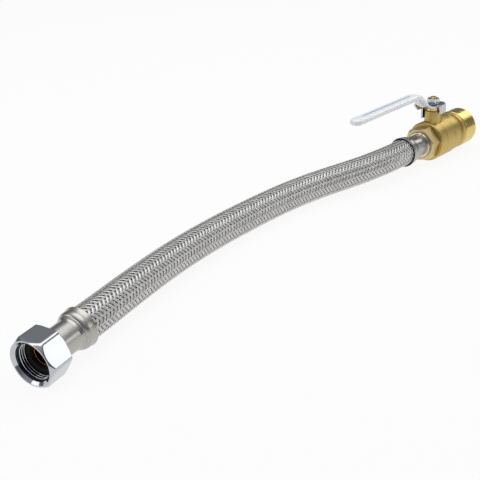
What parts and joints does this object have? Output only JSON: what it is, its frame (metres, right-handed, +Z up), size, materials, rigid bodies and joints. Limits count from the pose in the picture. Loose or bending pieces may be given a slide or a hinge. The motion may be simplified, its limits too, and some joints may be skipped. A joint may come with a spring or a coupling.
{
  "type": "water heater connector",
  "caption": "Bowed braided stainless hose with a chrome hex swivel nut at one end and a brass lever ball valve with a push-fit socket at the other.",
  "frame": {"origin": "on the table, below the middle of the rigid pieces' box", "axes": "+X along the valve's axis, from the nut end towards the push-fit end, +Z up"},
  "size_m": [0.5466, 0.0809, 0.0729],
  "materials": {
    "chrome": "polished chrome plate",
    "stainless": "drawn stainless, satin",
    "braid": "woven stainless wire",
    "brass": "machined brass",
    "zinc": "zinc plated steel",
    "rubber": "black rubber",
    "ptfe": "white fluoropolymer",
    "vinyl": "white dipped vinyl",
    "plastic": "dark grey moulded plastic"
  },
  "bodies": {
    "root": {"inlet_tailpiece": "brass", "inlet_ferrule": "stainless", "inner_tube": "rubber", "hose_braid": "braid", "outlet_ferrule": "stainless", "outlet_insert": "brass", "insert_o_ring": "rubber", "end_connector": "brass", "valve_body": "brass", "hose_side_seat": "ptfe", "outlet_side_seat": "ptfe", "stem_packing": "ptfe", "packing_nut": "brass", "push_fit_cap": "brass", "sealing_o_ring": "rubber", "o_ring_spacer": "plastic", "grab_ring": "stainless"},
    "nut": {"swivel_nut": "chrome", "sealing_washer": "rubber"},
    "lever": {"ball": "chrome", "stem": "brass", "stem_washer": "ptfe", "lever_handle": "zinc", "lever_grip": "vinyl", "lock_washer": "zinc", "lever_nut": "zinc"},
    "collar": {"release_collar": "plastic"}
  },
  "joints": [
    {"name": "nut_swivel", "type": "hinge", "parent": "root", "child": "nut", "pos_m": [-0.26985, -0.0153, 0.016], "axis": [0.9686, 0.2487, 0], "continuous": true},
    {"name": "lever_turn", "type": "hinge", "parent": "root", "child": "lever", "pos_m": [0.2172, 0.0129, 0.0196], "axis": [0, -0.061, -0.9981], "range_deg": [0, 90]},
    {"name": "collar_push", "type": "slide", "parent": "root", "child": "collar", "axis": [-1, 0, 0], "range_m": [0, 0.002], "stiffness_N_per_m": 1500}
  ]
}
